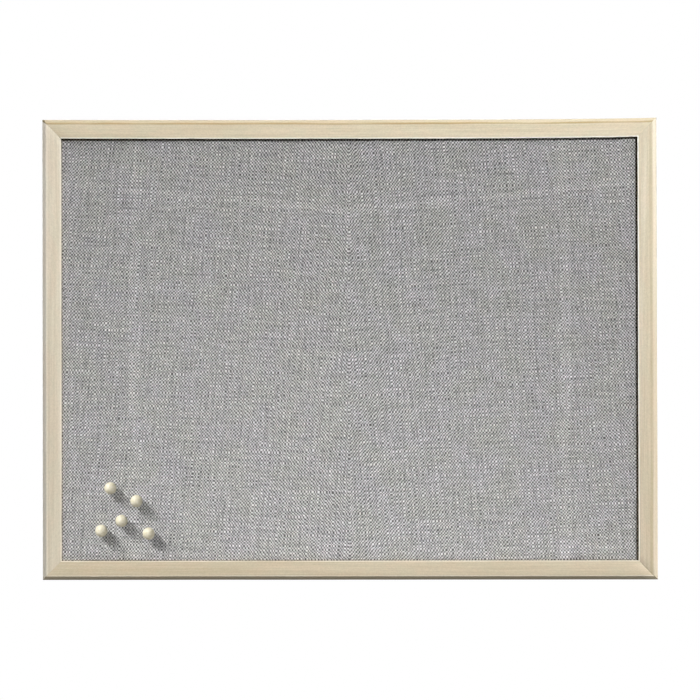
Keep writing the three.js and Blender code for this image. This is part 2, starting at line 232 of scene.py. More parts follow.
def stroke(finish, along, across, place, half_width, wander, strength, seed):
    """Share of a line that runs along a piece, at a place across it, and comes and goes."""
    wobble = finish.noise(finish.combine(finish.math("MULTIPLY", along, STROKE_WOBBLES), seed))
    line = finish.math("MULTIPLY_ADD", wobble, 2 * wander, place - wander)
    off = finish.math("ABSOLUTE", finish.math("SUBTRACT", across, line))
    breaks = finish.combine(finish.math("MULTIPLY", along, STROKE_BREAKS), seed + STROKE_BREAK_SEED)
    present = finish.spread(finish.noise(breaks), *STROKE_SHOWS, STROKE_FAINT * strength, strength)
    near = finish.spread(off, STROKE_CORE * half_width, half_width, 1.0, 0.0)
    return finish.math("MULTIPLY", near, present)


# Pine of the frame. The scales of its noise are along a side, through its depth and across it.
LOG_STEP = 0.61  # from a side to the next, along the log that they are cut from
BROAD_GRAIN = (7, 150, 150)
FINE_GRAIN = (18, 1500, 1500)
FINE_SHARE = 0.6
GRAIN_BAND = 0.14
PORES = (150, 4500, 4500)
PORE_TONES = (0.35, 0.7, 1.02, 0.96)  # from and to which noise, and the levels there
FLECKS = (900, 1100, 1100)
FLECK_TONE = 0.045
CAST_PATCHES = (60, 160, 160)
CAST_BAND = (0.36, 0.64)
PINK_CAST = (1.012, 0.994, 0.985, 1.0)
GREEN_CAST = (0.985, 1.004, 0.995, 1.0)
SIDE_SEED = 3
MARK_SEED = 11

# The dark line of a mitre, and where it changes across the moulding and comes in from the back
MITRE_BROWN = (104, 92, 60)
MITRE_LINE = 0.35 * MM  # width away from the corner
MITRE_CORE = 0.1 * MITRE_LINE
MITRE_OUTER = (0.8 * CHAMFER, 1.6 * CHAMFER)
MITRE_INNER = (MOULDING_WIDTH - 3 * MM, MOULDING_WIDTH - 1 * MM)
MITRE_FRONT = (FRAME_DEPTH - 2 * CHAMFER, FRAME_DEPTH - CHAMFER)

# Marks along a side: colour, place across it, half width, wander and strength. Some of them are painted light.
# painted highlight: a pale line along the inner edge beside the cloth
INNER_EDGE_HIGHLIGHT = ((252, 246, 234), MOULDING_WIDTH - 0.25 * MM, 0.5 * MM, 0.05 * MM, 0.6)
# painted highlight: a brighter pale line along the inner edge beside the cloth
BRIGHT_EDGE_HIGHLIGHT = ((255, 250, 238), MOULDING_WIDTH - 0.3 * MM, 0.6 * MM, 0.05 * MM, 1.5)
PALE_CHAMFER_LINE = ((238, 229, 212), CHAMFER + 0.2 * MM, 0.5 * MM, 0.1 * MM, 0.6)
INSET_EDGE = ((238, 229, 212), CHAMFER + 0.8 * MM, 0.5 * MM, 0.1 * MM, 0.5)
GREY_EDGE = ((224, 217, 206), 0.5 * CHAMFER, CHAMFER, 0.1 * MM, 0.8)
# painted shade: a darker band over the top rail's chamfer
TOP_CHAMFER_SHADE = ((205, 188, 158), 1.1 * MM, 1.5 * MM, 0.1 * MM, 0.6)
GROWTH_LINE = ((170, 142, 84), 2.55 * MM, 0.95 * MM, 0.7 * MM, 0.8)
OLIVE_STREAK = ((188, 172, 136), 3.9 * MM, 1.2 * MM, 0.4 * MM, 0.55)

# The wood of each side: its two tones, its casts at the start and at the end, and its marks. The casts are
# painted light, lighter towards the board's upper right; the tones are partly painted light, lighter on the top
# rail and darker on the bottom rail.
WOODS = {
    "bottom_rail": {
        "pale": (210, 196, 170), "streak": (197, 182, 154),
        "painted_light_falloff": ((0.97, 0.97, 0.98, 1), (1.01, 1.02, 1.05, 1)),
        "marks": [INNER_EDGE_HIGHLIGHT, PALE_CHAMFER_LINE],
    },
    "right_stile": {
        "pale": (222, 209, 186), "streak": (207, 192, 165),
        "painted_light_falloff": ((0.9, 0.89, 0.88, 1), (1.11, 1.14, 1.18, 1)),
        "marks": [BRIGHT_EDGE_HIGHLIGHT, OLIVE_STREAK],
    },
    "top_rail": {
        "pale": (225, 212, 187), "streak": (211, 197, 169),
        "painted_light_falloff": ((1.07, 1.08, 1.09, 1), (0.89, 0.885, 0.87, 1)),
        "marks": [BRIGHT_EDGE_HIGHLIGHT, TOP_CHAMFER_SHADE, GROWTH_LINE],
    },
    "left_stile": {
        "pale": (221, 210, 190), "streak": (208, 196, 174),
        "painted_light_falloff": ((1.0, 1.0, 1.01, 1), (0.9, 0.895, 0.89, 1)),
        "marks": [INNER_EDGE_HIGHLIGHT, INSET_EDGE, GREY_EDGE],
    },
}


def mitre_line(finish, distance, across, depth, mitre):
    """Share of the dark line where two sides meet, by the distance from the joint and the place across. It
    fades out behind the front."""
    width = finish.spread(across, 0.0, CHAMFER, mitre["gape"], MITRE_LINE)
    outer = finish.spread(across, *MITRE_OUTER, mitre["corner"], mitre["midway"])
    inner = finish.spread(across, *MITRE_INNER, 0.0, mitre["inside"] - mitre["midway"])
    near = finish.spread(distance, MITRE_CORE, width, 1.0, 0.0)
    front = finish.spread(depth, *MITRE_FRONT)
    return finish.math("MULTIPLY", finish.math("MULTIPLY", near, front), finish.math("ADD", outer, inner))


def pine(side, length, seed):
    """Pale pine of a side, with faint grain and marks along it and a dark line at each of its mitres. Some marks
    are painted highlights and painted shade, and painted light makes the side lighter towards the board's upper
    right.
    """
    finish = Finish("pine_" + side["name"])
    wood = WOODS[side["name"]]
    grain = finish.node("ShaderNodeAttribute", attribute_name="grain").outputs["Vector"]
    along, behind, across = finish.separate(grain)
    log = finish.shifted(grain, (LOG_STEP * seed, 0.0, 0.0))
    broad = finish.noise(log, BROAD_GRAIN, detail=3)
    fine = finish.noise(log, FINE_GRAIN, detail=4, roughness=0.6)
    colour = finish.two_tone(finish.blend(fine, broad, FINE_SHARE), GRAIN_BAND, wood["pale"], wood["streak"])
    # the marks include painted highlights along the inner edge and painted shade on the top rail's chamfer
    for number, (tone, *line) in enumerate(wood["marks"]):
        share = stroke(finish, along, across, *line, seed=SIDE_SEED * seed + MARK_SEED * number)
        colour = finish.mix(share, colour, linear(*tone))
    patches = finish.noise(log, CAST_PATCHES, detail=3)
    colour = finish.cast(colour, finish.spread(patches, *CAST_BAND), PINK_CAST, GREEN_CAST)
    # painted light: the side grows lighter towards the board's upper right
    colour = finish.cast(colour, finish.spread(along, 0.0, length), *wood["painted_light_falloff"])
    depth = finish.math("MULTIPLY", behind, -1.0)
    for distance, joint in ((along, "start"), (finish.math("SUBTRACT", length, along), "end")):
        share = mitre_line(finish, distance, across, depth, MITRES[side[joint]])
        colour = finish.mix(share, colour, linear(*MITRE_BROWN))
    pores = finish.noise(log, PORES)
    flecks = finish.spread(finish.noise(log, FLECKS), 0.3, 0.7, 1 - FLECK_TONE, 1 + FLECK_TONE)
    level = finish.math("MULTIPLY", flecks, finish.spread(pores, *PORE_TONES))
    finish.bump(finish.math("ADD", fine, pores), strength=0.12, distance=0.05 * MM)
    return finish.surface(colour=finish.tint(colour, level), roughness=0.6, specular=0.25)


# Cloth. Counts and patches are per metre.
DARK_YARN = (84, 81.2, 82)
LIGHT_YARN = (197.5, 197.7, 197.1)
YARN_EDGES = (-0.76, 0.44)  # from all dark to all light, with more of the light yarn on top
WARP_COUNT = 972
WEFT_COUNT = 888
WARP_LEAN = 95  # threads that a metre's lean crosses
WEFT_LEAN = -35
THREAD_STRAY = 1.7  # in threads
STRAY_ALONG = 25
STRAY_ACROSS = 420
OTHER_HALF = 517  # from the number of a warp thread on the left to that of its mirror image
TWIST_MIDDLE = 0.64  # share of the rows that the yarn's twist favours, in the middle of the board
TWIST_END = 0.47
TWIST_STRAY = 0.08
TWIST_PATCHES = 60
YARN_STEP = 7.31  # places in the noise from a thread to the next
YARN_CHANGES = 45
YARN_CONTRAST = 0.4
WARP_TONE = 0.24
WEFT_TONE = 0.2
WARP_SEED = 0.0
WEFT_SEED = 3.0
SPECK_TONE = 0.16
# painted shade towards the sides of a rounded thread
CROWN_TONE = 0.16  # rounding of a thread
FIBRE_TONE = 0.2
FIBRE_LENGTH = 2 * MM
FIBRE_WIDTH = 0.12 * MM
FIBRE_SWAY = 0.25
PATCH_TONE = 0.05
PATCHES = 90
HUE_PATCHES = 45
HUE_BAND = (0.35, 0.65)
OLIVE_CAST = (0.993, 1.0, 0.972, 1.0)
LAVENDER_CAST = (1.007, 1.0, 1.028, 1.0)
CREASE_SLOPE = 0.098
CREASE_TONE = 0.13
LEVEL_CREASE = {"place": 90 * MM, "half_width": 3.5 * MM, "wander": 2.5 * MM, "seed": 21}
UPRIGHT_CREASE = {"place": 140 * MM, "half_width": 5 * MM, "wander": 7 * MM, "seed": 25}

# Painted shade on the cloth beside the frame's lip, each with its reach: close to it all round, dim further out,
# and a brown painted shadow, with painted light reflected from the wood, beside the top rail and the right
# stile, which shade the cloth
LIP_CONTACT_SHADE = ((0.58, 0.5, 0.38, 1.0), 1.1 * MM)
LIP_DIM_SHADE = ((0.87, 0.87, 0.86, 1.0), 6 * MM)
LIP_BROWN_SHADOW = ((0.6, 0.48, 0.28, 1.0), 1.8 * MM)


def threads(finish, flat, across, count, along, lean, stray):
    """Rises by one from thread to thread. The threads lean, and stray a little from their line."""
    sway = finish.math("MULTIPLY", finish.noise(flat, stray, detail=1), THREAD_STRAY)
    return finish.math("MULTIPLY_ADD", across, count, finish.math("MULTIPLY_ADD", along, lean, sway))


def slanting_rows(finish, flat, side, warp, weft):
    """Light on the crossings: two sets of slanting rows, of which the yarn's twist favours one."""
    rising, falling = (
        finish.math("COSINE", finish.math("MULTIPLY", finish.math(way, warp, weft), math.pi))
        for way in ("ADD", "SUBTRACT")
    )
    uneven = finish.sway(finish.noise(flat, (TWIST_PATCHES, TWIST_PATCHES, 1)), TWIST_STRAY)
    twist = finish.math("ADD", uneven, finish.spread(side, 0.0, cover_high.x, TWIST_MIDDLE, TWIST_END))
    other = finish.math("MULTIPLY", rising, finish.math("SUBTRACT", 1.0, twist))
    return finish.math("SUBTRACT", finish.math("MULTIPLY", falling, twist), other)


def yarn_tone(finish, thread, along, tone, seed):
    """How much lighter or darker a thread is than the one before it. It changes slowly along the thread."""
    length = finish.math("MULTIPLY", along, YARN_CHANGES)
    own, before = (
        finish.noise(finish.combine(finish.math("MULTIPLY_ADD", thread, YARN_STEP, -back), length, seed))
        for back in (0.0, YARN_STEP)
    )
    step = finish.math("SUBTRACT", own, before)
    return finish.spread(step, -YARN_CONTRAST, YARN_CONTRAST, -tone, tone)


def yarn_level(finish, right, up, warp, weft):
    """How light the yarn is at a crossing. Each half of the mirrored cloth has threads of its own."""
    half = finish.math("GREATER_THAN", right, 0.0)
    warp_thread = finish.math("MULTIPLY_ADD", half, OTHER_HALF, finish.math("FLOOR", warp))
    weft_thread = finish.math("FLOOR", weft)
    crossing = finish.combine(warp_thread, weft_thread)
    speck = finish.node("ShaderNodeTexWhiteNoise", {"Vector": crossing}).outputs["Value"]
    level = finish.math("MULTIPLY_ADD", speck, 2 * SPECK_TONE, 1 - SPECK_TONE)
    for yarn in ((warp_thread, up, WARP_TONE, WARP_SEED), (weft_thread, right, WEFT_TONE, WEFT_SEED)):
        level = finish.math("ADD", level, yarn_tone(finish, *yarn))
    return level


def creases(finish, side, up):
    """Pale lines where the cloth was folded: one across it near the top, and one upright near each end."""
    level_with = finish.math("MULTIPLY_ADD", side, -CREASE_SLOPE, up)
    across = stroke(finish, side, level_with, strength=CREASE_TONE, **LEVEL_CREASE)
    upright = stroke(finish, up, side, strength=CREASE_TONE, **UPRIGHT_CREASE)
    return finish.math("ADD", across, upright)


def rounding(finish, thread, flat, fibre):
    """Light on a rounded thread, brightest along its middle, with fibres that run along it."""
    across = finish.math("COSINE", finish.math("MULTIPLY", thread, 2 * math.pi))
    fibres = finish.sway(finish.noise(flat, fibre), FIBRE_TONE, FIBRE_SWAY)
    return finish.math("MULTIPLY_ADD", across, -CROWN_TONE, fibres)


def thread_on_top(finish, flat, light, warp, weft):
    """Light on the thread that lies on top, which is the weft where the cloth is light."""
    of_warp = rounding(finish, warp, flat, (1 / FIBRE_WIDTH, 1 / FIBRE_LENGTH, 1))
    of_weft = rounding(finish, weft, flat, (1 / FIBRE_LENGTH, 1 / FIBRE_WIDTH, 1))
    return finish.math("MULTIPLY_ADD", light, finish.math("SUBTRACT", of_weft, of_warp), of_warp)


def from_lip(finish, right, up):
    """How far a place on the cloth is from the lip of the right stile or of the top rail."""
    gaps = (
        finish.math("SUBTRACT", BOARD_WIDTH / 2 - MOULDING_WIDTH, right),
        finish.math("SUBTRACT", BOARD_HEIGHT / 2 - MOULDING_WIDTH, up),
    )
    return finish.math("MINIMUM", *gaps)


def shaded_by_lip(finish, colour, right, up):
    """The cloth's colour, with painted shade beside the frame's lip and a brown painted shadow beside the top
    rail and the right stile.
    """
    nearest = from_lip(finish, *(finish.math("ABSOLUTE", way) for way in (right, up)))
    shading = from_lip(finish, right, up)
    for gap, (shade, reach) in ((nearest, LIP_CONTACT_SHADE), (nearest, LIP_DIM_SHADE), (shading, LIP_BROWN_SHADOW)):
        beside = finish.spread(gap, 0.0, reach, 1.0, 0.0)
        colour = finish.mix(beside, colour, shade, blend="MULTIPLY")
    return colour


def woven_cloth():
    """Plain weave of light and dark grey yarn. The threads lean, mirrored about the middle."""
    finish = Finish("grey_woven_cloth")
    flat = finish.node("ShaderNodeUVMap", uv_map="cut").outputs["UV"]
    right, up, _ = finish.separate(flat)
    side = finish.math("ABSOLUTE", right)
    warp = threads(finish, flat, side, WARP_COUNT, up, WARP_LEAN, (STRAY_ACROSS, STRAY_ALONG, 1))
    weft = threads(finish, flat, up, WEFT_COUNT, side, WEFT_LEAN, (STRAY_ALONG, STRAY_ACROSS, 1))
    over = slanting_rows(finish, flat, side, warp, weft)
    light = finish.spread(over, *YARN_EDGES)

    patch = finish.sway(finish.noise(finish.combine(side, up), (PATCHES, PATCHES, 1)), PATCH_TONE)
    slow = finish.math("ADD", patch, creases(finish, side, up))
    level = finish.math("ADD", yarn_level(finish, right, up, warp, weft), slow)
    level = finish.math("ADD", level, thread_on_top(finish, flat, light, warp, weft))

    colour = finish.mix(light, linear(*DARK_YARN), linear(*LIGHT_YARN))
    hue = finish.noise(flat, (HUE_PATCHES, HUE_PATCHES, 1), detail=4)
    colour = finish.cast(colour, finish.spread(hue, *HUE_BAND), OLIVE_CAST, LAVENDER_CAST)
    # painted shade and painted shadow beside the frame's lip
    colour = shaded_by_lip(finish, colour, right, up)
    finish.bump(finish.math("ABSOLUTE", over), strength=0.1, distance=0.15 * MM)
    return finish.surface(colour=finish.tint(colour, level), roughness=0.95, specular=0.1, sheen=0.05)


# Wood of the balls
BEECH_RINGS = (900, 160, 900)
BEECH_FLECKS = (3200, 900, 3200)
BEECH_FLECK_SHARE = 0.35
BEECH_BAND = 0.12
BEECH_TONES = ((228, 221, 202), (214, 206, 177))


def turned_wood():
    """Pale turned beech, with growth rings across the ball and a satin surface."""
    finish = Finish("turned_wood")
    place = finish.place()
    rings = finish.noise(place, BEECH_RINGS, detail=3)
    tone = finish.blend(finish.noise(place, BEECH_FLECKS), rings, BEECH_FLECK_SHARE)
    colour = finish.two_tone(tone, BEECH_BAND, *BEECH_TONES)
    finish.bump(tone, strength=0.1, distance=0.05 * MM)
    return finish.surface(colour=colour, roughness=0.48, specular=0.45)


# Boards inside and behind the cover
HARDBOARD_FIBRES = (900, 900, 900)
HARDBOARD_BLOTCHES = (25, 25, 25)
HARDBOARD_FIBRE_SHARE = 0.85
HARDBOARD_TONES = ((112, 78, 50), (150, 112, 76))
SCREEN_PITCH = 1.6 * MM
SCREEN_HEIGHT = 0.4  # of the fibres'
CORE_FIBRES = (700, 1400, 700)
CORE_TONES = ((150, 126, 95), (186, 163, 128))
FIBRE_BAND = 0.15


def hardboard():
    """Brown pressed fibre board, with the fine screen marks of its rough side."""
    finish = Finish("brown_hardboard")
    place = finish.place()
    x, _, z = finish.separate(place)
    fibres = finish.noise(place, HARDBOARD_FIBRES, detail=4, roughness=0.65)
    blotches = finish.noise(place, HARDBOARD_BLOTCHES, detail=3)
    waves = (finish.math("SINE", finish.math("MULTIPLY", way, 2 * math.pi / SCREEN_PITCH)) for way in (x, z))
    screen = finish.math("MULTIPLY", *waves)
    tone = finish.blend(fibres, blotches, HARDBOARD_FIBRE_SHARE)
    colour = finish.two_tone(tone, FIBRE_BAND, *HARDBOARD_TONES)
    height = finish.math("MULTIPLY_ADD", screen, SCREEN_HEIGHT, fibres)
    finish.bump(height, strength=0.35, distance=0.12 * MM)
    return finish.surface(colour=colour, roughness=0.8, specular=0.2)


def fibre_core():
    """Soft grey-brown fibre board, mottled."""
    finish = Finish("soft_fibre_core")
    fibres = finish.noise(finish.place(), CORE_FIBRES, detail=4, roughness=0.7)
    colour = finish.two_tone(fibres, FIBRE_BAND, *CORE_TONES)
    finish.bump(fibres, strength=0.5, distance=0.2 * MM)
    return finish.surface(colour=colour, roughness=0.95, specular=0.1)


# Steel
CLOUDS = (500, 500, 500)
CLOUD_BAND = 0.2
SCRATCHES = (600, 9000, 9000)
SMOOTHER, ROUGHER = 0.08, 0.1  # between and along the scratches
NEEDLE_STEEL = {"dark": (126, 128, 131), "light": (164, 166, 169), "roughness": 0.28}
ZINC_STEEL = {"dark": (146, 150, 154), "light": (182, 186, 190), "roughness": 0.34}
BARE_STEEL = {"dark": (140, 140, 141), "light": (178, 178, 178), "roughness": 0.42}


def metal(name, dark, light, roughness):
    """Steel with cloudy plating and fine scratches."""
    finish = Finish(name)
    place = finish.place()
    colour = finish.two_tone(finish.noise(place, CLOUDS, detail=3), CLOUD_BAND, dark, light)
    scratches = finish.noise(place, SCRATCHES)
    rough = finish.spread(scratches, 0.3, 0.7, roughness - SMOOTHER, roughness + ROUGHER)
    finish.bump(scratches, strength=0.08, distance=0.02 * MM)
    return finish.surface(colour=colour, roughness=rough, metallic=1.0)


# Floor
FLOOR_MOTTLE = (3, 3, 3)
FLOOR_TONES = ((244, 244, 243), (250, 250, 249))


def studio_floor():
    """Pale floor with a hardly visible mottle."""
    finish = Finish("pale_floor")
    mottle = finish.noise(finish.place(), FLOOR_MOTTLE)
    return finish.surface(colour=finish.mix(mottle, *(linear(*tone) for tone in FLOOR_TONES)), roughness=0.9)


# Meshes and node trees
MERGE_DISTANCE = 0.001 * MM
SHARP_ANGLE = math.radians(35)
RIVET_SEGMENTS = 24
RIVET_RINGS = 16


def new_object(name, data):
    piece = bpy.data.objects.new(name, data)
    bpy.context.scene.collection.objects.link(piece)
    return piece


def mesh_of(work, name):
    """The plain mesh of a finished bmesh."""
    mesh = bpy.data.meshes.new(name)
    work.to_mesh(mesh)
    work.free()
    return mesh


def smooth(mesh):
    mesh.polygons.foreach_set("use_smooth", [True] * len(mesh.polygons))


def finish_mesh(mesh):
    """Merges doubles, turns the faces outwards and smooths all but the sharp edges."""
    work = bmesh.new()
    work.from_mesh(mesh)
    bmesh.ops.remove_doubles(work, verts=work.verts, dist=MERGE_DISTANCE)
    bmesh.ops.recalc_face_normals(work, faces=work.faces)
    work.to_mesh(mesh)
    work.free()
    smooth(mesh)
    mesh.set_sharp_from_angle(angle=SHARP_ANGLE)


def thicken(piece, name, thickness, offset):
    """Gives a sheet its thickness, behind its face where offset is -1 and in front of it where that is 1."""
    wall = piece.modifiers.new(name, "SOLIDIFY")
    wall.thickness = thickness
    wall.offset = offset


def polyline(name, points, closed=False):
    """An object of points joined by edges, as the start of a node tree."""
    mesh = bpy.data.meshes.new(name)
    count = len(points) if closed else len(points) - 1
    mesh.from_pydata(points, [(i, (i + 1) % len(points)) for i in range(count)], [])
    return bpy.data.objects.new(name, mesh)


def mark(piece, name, values):
    """Gives each point of a start mesh a value of its own."""
    attribute = piece.data.attributes.new(name, "FLOAT", "POINT")
    attribute.data.foreach_set("value", values)


class Recipe(NodeTree):
    """A geometry node tree in the making. sizes gives the named inputs, with a kind of socket for each."""

    def __init__(self, name, sizes):
        self.tree = bpy.data.node_groups.new(name, "GeometryNodeTree")
        face = self.tree.interface
        face.new_socket("Geometry", in_out="INPUT", socket_type="NodeSocketGeometry")
        self.sockets = {
            size: face.new_socket(size, in_out="INPUT", socket_type="NodeSocket" + kind).identifier
            for size, kind in {**sizes, "Finish": "Material"}.items()
        }
        face.new_socket("Geometry", in_out="OUTPUT", socket_type="NodeSocketGeometry")
        self.given = self.node("NodeGroupInput").outputs

    def made(self, kind, inputs=None, **settings):
        """The first output of a new node."""
        return self.node(kind, inputs, **settings).outputs[0]

    def math(self, operation, *values):
        return self.made("ShaderNodeMath", dict(enumerate(values)), operation=operation)

    def point_value(self, name):
        return self.made("GeometryNodeInputNamedAttribute", {"Name": name}, data_type="FLOAT")

    def start_line(self):
        """The line that the start object draws."""
        return self.made("GeometryNodeMeshToCurve", {"Mesh": self.given["Geometry"]})

    def curve_of(self, size):
        """The line drawn by an object that is one of the inputs."""
        drawn = self.node("GeometryNodeObjectInfo", {"Object": self.given[size]}).outputs["Geometry"]
        return self.made("GeometryNodeMeshToCurve", {"Mesh": drawn})

    def close(self, geometry):
        real = self.made("GeometryNodeRealizeInstances", {"Geometry": geometry})
        dressed = self.made("GeometryNodeSetMaterial", {"Geometry": real, "Material": self.given["Finish"]})
        self.node("NodeGroupOutput", {"Geometry": dressed})
        return self

    def make(self, start, **sizes):
        """Runs the tree on a start object and returns the plain mesh that it makes."""
        bpy.context.scene.collection.objects.link(start)
        modifier = start.modifiers.new("recipe", "NODES")
        modifier.node_group = self.tree
        for size, value in sizes.items():
            modifier[self.sockets[size.replace("_", " ")]] = value
        graph = bpy.context.evaluated_depsgraph_get()
        made = start.evaluated_get(graph)
        mesh = bpy.data.meshes.new_from_object(made, preserve_all_data_layers=True, depsgraph=graph)
        bpy.data.objects.remove(start)
        return mesh


def bow(recipe, share, along):
    """How far a side is bent inwards at a share of its length: nothing at its ends, most between them."""
    sway_at = recipe.made("ShaderNodeCombineXYZ", {
        "X": recipe.math("MULTIPLY", along, WANDER_WAVES), "Y": recipe.given["Seed"],
    })
    sway = recipe.made("ShaderNodeTexNoise", {"Vector": sway_at, "Scale": 1.0, "Detail": 2.0})
    centred = recipe.math("SUBTRACT", sway, 0.5)
    bend = recipe.math("MULTIPLY_ADD", centred, recipe.given["Wander"], recipe.given["Bow"])
    reach = recipe.math("POWER", recipe.math("MAXIMUM", share, 0.0), BOW_SKEW)
    middle = recipe.math("MULTIPLY", reach, recipe.math("MULTIPLY_ADD", reach, -4.0, 4.0))
    return recipe.math("MULTIPLY", bend, middle)


def moulding_recipe():
    """Sweeps a section along a line, bows it, and slants its ends so that the sides meet in mitres."""
    recipe = Recipe("mitred moulding", {
        "Section": "Object", "Length": "Float", "Bow": "Float", "Wander": "Float", "Seed": "Float",
    })
    upright = recipe.made(
        "GeometryNodeSetCurveNormal", {"Curve": recipe.start_line(), "Normal": (0.0, 0.0, 1.0)}, mode="FREE")
    bar = recipe.made("GeometryNodeCurveToMesh", {
        "Curve": upright, "Profile Curve": recipe.curve_of("Section"),
        "Scale": recipe.point_value("fullness"), "Fill Caps": True,
    })
    place = recipe.made("GeometryNodeInputPosition")
    marked = recipe.made(
        "GeometryNodeStoreNamedAttribute", {"Geometry": bar, "Name": "grain", "Value": place},
        data_type="FLOAT_VECTOR", domain="POINT")
    split = recipe.node("ShaderNodeSeparateXYZ", {"Vector": place}).outputs
    share = recipe.math("DIVIDE", split["X"], recipe.given["Length"])
    slant = recipe.math("MULTIPLY", split["Z"], recipe.math("MULTIPLY_ADD", share, -2.0, 1.0))
    shift = recipe.made("ShaderNodeCombineXYZ", {"X": slant, "Z": bow(recipe, share, split["X"])})
    return recipe.close(recipe.made("GeometryNodeSetPosition", {"Geometry": marked, "Offset": shift}))


def wire_recipe():
    """Bends wire along a closed line, with a bend radius at each of its corners."""
    recipe = Recipe("bent wire", {"Wire radius": "Float", "Bend steps": "Int", "Wire sides": "Int"})
    bent = recipe.made("GeometryNodeFilletCurve", {
        "Curve": recipe.start_line(), "Count": recipe.given["Bend steps"],
        "Radius": recipe.point_value("bend"),
    }, mode="POLY")
    section = recipe.made("GeometryNodeCurvePrimitiveCircle", {
        "Resolution": recipe.given["Wire sides"], "Radius": recipe.given["Wire radius"],
    })
    return recipe.close(recipe.made("GeometryNodeCurveToMesh", {"Curve": bent, "Profile Curve": section}))


def pressed_recipe():
    """Fills an outline, gives it a thickness and sets one on each point, turned as the point says."""
    recipe = Recipe("pressed fixings", {"Outline": "Object", "Thickness": "Float"})
    blank = recipe.made("GeometryNodeFillCurve", {"Curve": recipe.curve_of("Outline")}, mode="NGONS")
    pressed = recipe.node("GeometryNodeExtrudeMesh", {
        "Mesh": blank, "Offset Scale": recipe.given["Thickness"], "Individual": False,
    })
    flipped = recipe.made("GeometryNodeFlipFaces", {"Mesh": blank})
    solid = recipe.node("GeometryNodeJoinGeometry")
    for part in (flipped, pressed.outputs["Mesh"]):
        recipe.tree.links.new(part, solid.inputs[0])
    turn = recipe.made("ShaderNodeCombineXYZ", {"Y": recipe.point_value("turn")})
    lying = recipe.made("GeometryNodeTransform", {
        "Geometry": solid.outputs[0], "Rotation": (math.pi / 2, 0.0, 0.0),
    })
    set_out = recipe.made("GeometryNodeInstanceOnPoints", {
        "Points": recipe.given["Geometry"], "Instance": lying, "Rotation": turn,
    })
    return recipe.close(set_out)


def rivet_recipe():
    """Sets a domed rivet head on each point, facing +Y."""
    recipe = Recipe("domed rivets", {"Head radius": "Float", "Head height": "Float"})
    ball = recipe.made("GeometryNodeMeshUVSphere", {
        "Segments": RIVET_SEGMENTS, "Rings": RIVET_RINGS, "Radius": 1.0,
    })
    size = recipe.made("ShaderNodeCombineXYZ", {
        "X": recipe.given["Head radius"], "Y": recipe.given["Head radius"], "Z": recipe.given["Head height"],
    })
    dome = recipe.made("GeometryNodeTransform", {
        "Geometry": ball, "Rotation": (-math.pi / 2, 0.0, 0.0), "Scale": size,
    })
    set_out = recipe.made("GeometryNodeInstanceOnPoints", {
        "Points": recipe.given["Geometry"], "Instance": dome,
    })
    return recipe.close(set_out)


def rounded(corners, steps=3):
    """A closed outline with its corners rounded; each corner gives x, y and the length that it loses."""
    points = []
    for i, (x, y, cut) in enumerate(corners):
        corner = Vector((x, y))
        if cut == 0:
            points.append(corner)
            continue
        before = corner + (Vector(corners[i - 1][:2]) - corner).normalized() * cut
        after = corner + (Vector(corners[(i + 1) % len(corners)][:2]) - corner).normalized() * cut
        for step in range(steps + 1):
            t = step / steps
            points.append(before * (1 - t) ** 2 + corner * 2 * t * (1 - t) + after * t ** 2)
    return [(point.x, point.y, 0.0) for point in points]


# Frame


def moulding_section():
    """Section of the moulding: X from its outside towards the fabric, Y from the wall to the front."""
    ledge = -FABRIC_FRONT + LIP_SEAT_GAP
    land = MOULDING_WIDTH - REBATE_WIDTH
    corners = [
        (0, BACK_INSET, EDGE_ROUND),
        (0, FRAME_DEPTH - CHAMFER, EDGE_ROUND),
        (CHAMFER, FRAME_DEPTH, EDGE_ROUND),
        (MOULDING_WIDTH, FRAME_DEPTH, INNER_ROUND),
        (MOULDING_WIDTH, ledge, 0),
        (land, ledge, 0),
        (land, BACK_INSET, EDGE_ROUND),
    ]
    return polyline("moulding section", rounded(corners), closed=True)


def side_path(side, length):
    """The line along a side, with its fullness at each point, which is less at the mitres."""
    count = round(length / STATION_STEP)
    inside = [MITRE_EASE + (length - 2 * MITRE_EASE) * i / count for i in range(count + 1)]
    path = polyline("side path", [(x, 0, 0) for x in (0.0, *inside, length)])
    first, last = (1 - MITRES[side[end]]["thinning"] for end in ("start", "end"))
    mark(path, "fullness", [first, *(1.0 for x in inside), last])
    return path


def place_side(side, turns):
    """From a side's own frame, with X along it and Z inwards, to the board's."""
    corner = Vector((side["x"] * BOARD_WIDTH / 2, 0, side["z"] * BOARD_HEIGHT / 2))
    return Matrix.Translation(corner) @ Matrix.Rotation(-turns * math.pi / 2, 4, "Y")


def build_frame():
    recipe = moulding_recipe()
    section = moulding_section()
    pieces = []
    for turns, side in enumerate(SIDES):
        length = BOARD_WIDTH if turns % 2 == 0 else BOARD_HEIGHT
        mesh = recipe.make(
            side_path(side, length), Section=section, Length=length, Bow=side["bow"], Wander=WANDER,
            Seed=WANDER_SEED * turns, Finish=pine(side, length, turns),
        )
        mesh.transform(place_side(side, turns))
        finish_mesh(mesh)
        piece = new_object("wood_" + side["name"], mesh)
        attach(piece, "board")
        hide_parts("frame_" + side["name"])
        pieces.append(piece)
    bpy.data.objects.remove(section)
    return pieces


